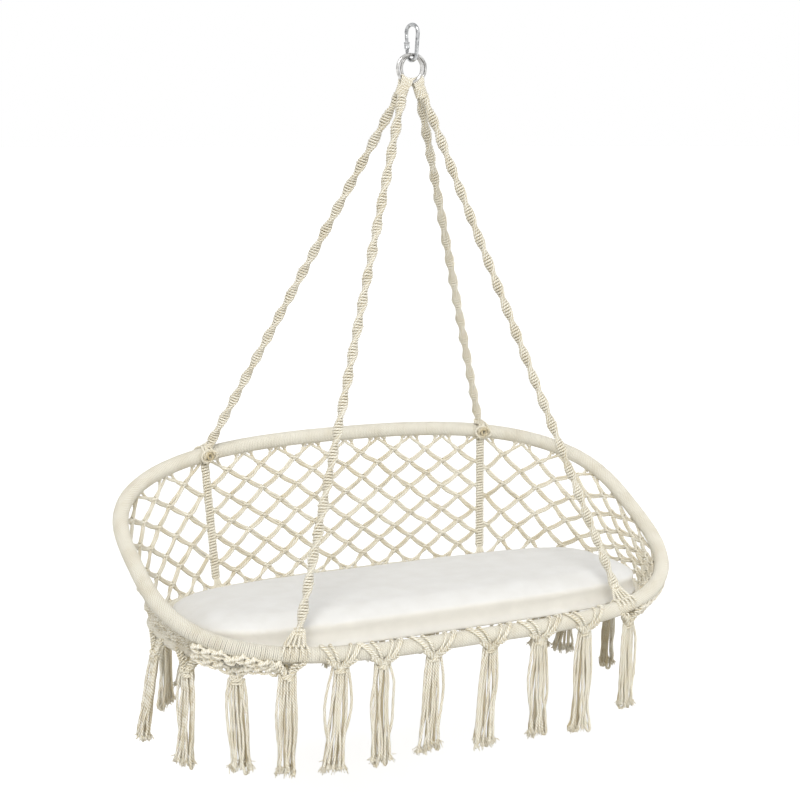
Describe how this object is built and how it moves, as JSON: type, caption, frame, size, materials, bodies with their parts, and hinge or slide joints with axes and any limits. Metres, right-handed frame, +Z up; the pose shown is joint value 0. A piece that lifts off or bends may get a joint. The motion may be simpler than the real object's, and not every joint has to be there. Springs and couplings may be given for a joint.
{
  "type": "hammock chair",
  "caption": "Two-seat hanging hammock chair: knotted cord nets between two wrapped steel hoops, fringe tassels, a loose seat cushion, and ropes to a snap hook.",
  "frame": {"origin": "hang point: the inside top of the snap hook's upper bow, where a ceiling eye or chain would bear", "axes": "+Z up; +X to the sitter's left as seen from the front, along the long side; -Y to the open front"},
  "size_m": [1.252, 0.6458, 1.457],
  "materials": {
    "cord": "undyed twisted cotton cord, matt",
    "canvas": "off-white woven cotton cover, matt",
    "wadding": "white soft filling, hidden inside the cover",
    "zip_tape": "woven zip tape, matt",
    "plated_steel": "bright zinc plate",
    "tube_steel": "dark painted steel tube, hidden under the cord"
  },
  "bodies": {
    "hook": {"hook_body": "plated_steel", "gate_pin": "plated_steel"},
    "gate": {"hook_gate": "plated_steel", "gate_plunger": "plated_steel", "gate_spring": "plated_steel"},
    "sleeve": {"lock_sleeve": "plated_steel"},
    "rings": {"ring_left": "plated_steel", "ring_right": "plated_steel"},
    "chair": {"rope_eye_left": "cord", "rope_front_left": "cord", "rope_back_left": "cord", "lashing_front_left": "cord", "lashing_back_left": "cord", "post_left": "cord", "post_foot_left": "cord", "rim_wrap_left": "cord", "net_left": "cord", "lace_left": "cord", "rope_eye_right": "cord", "rope_front_right": "cord", "rope_back_right": "cord", "lashing_front_right": "cord", "lashing_back_right": "cord", "post_right": "cord", "post_foot_right": "cord", "rim_wrap_right": "cord", "net_right": "cord", "lace_right": "cord", "rim_wrap_front": "cord", "rim_wrap_back": "cord", "seat_wrap_front": "cord", "seat_wrap_back": "cord", "net_back": "cord", "seat_net": "cord", "tassel_01": "cord", "tassel_02": "cord", "tassel_03": "cord", "tassel_04": "cord", "tassel_05": "cord", "tassel_06": "cord", "tassel_07": "cord", "tassel_08": "cord", "tassel_09": "cord", "tassel_10": "cord", "tassel_11": "cord", "tassel_12": "cord", "tassel_13": "cord", "tassel_14": "cord", "tassel_15": "cord", "tassel_16": "cord", "tassel_17": "cord", "tassel_18": "cord", "tassel_19": "cord", "tassel_20": "cord", "tassel_21": "cord", "rim_tube": "tube_steel", "seat_tube": "tube_steel"},
    "cushion": {"cushion_cover": "canvas", "cushion_insert": "wadding", "cushion_zip": "zip_tape"}
  },
  "joints": [
    {"name": "swing_sideways", "type": "hinge", "parent": "hook", "child": "rings", "pos_m": [0, 0, -0.066], "axis": [0, 1, 0], "range_deg": [-15, 15]},
    {"name": "swing_fore_aft", "type": "hinge", "parent": "rings", "child": "chair", "pos_m": [0, 0, -0.10825], "axis": [1, 0, 0], "range_deg": [-20, 20]},
    {"name": "cushion_lift", "type": "slide", "parent": "chair", "child": "cushion", "axis": [0, 0, 1], "range_m": [0, 0.09]},
    {"name": "gate_swing", "type": "hinge", "parent": "hook", "child": "gate", "pos_m": [-0.00415, 0.01278, -0.04702], "axis": [0.9511, 0.309, 0], "range_deg": [0, 35], "stiffness_Nm_per_rad": 0.05, "springref_deg": -11.46},
    {"name": "sleeve_slide", "type": "slide", "parent": "gate", "child": "sleeve", "axis": [0.0226, -0.0694, -0.9973], "range_m": [-0.017, 0]}
  ]
}
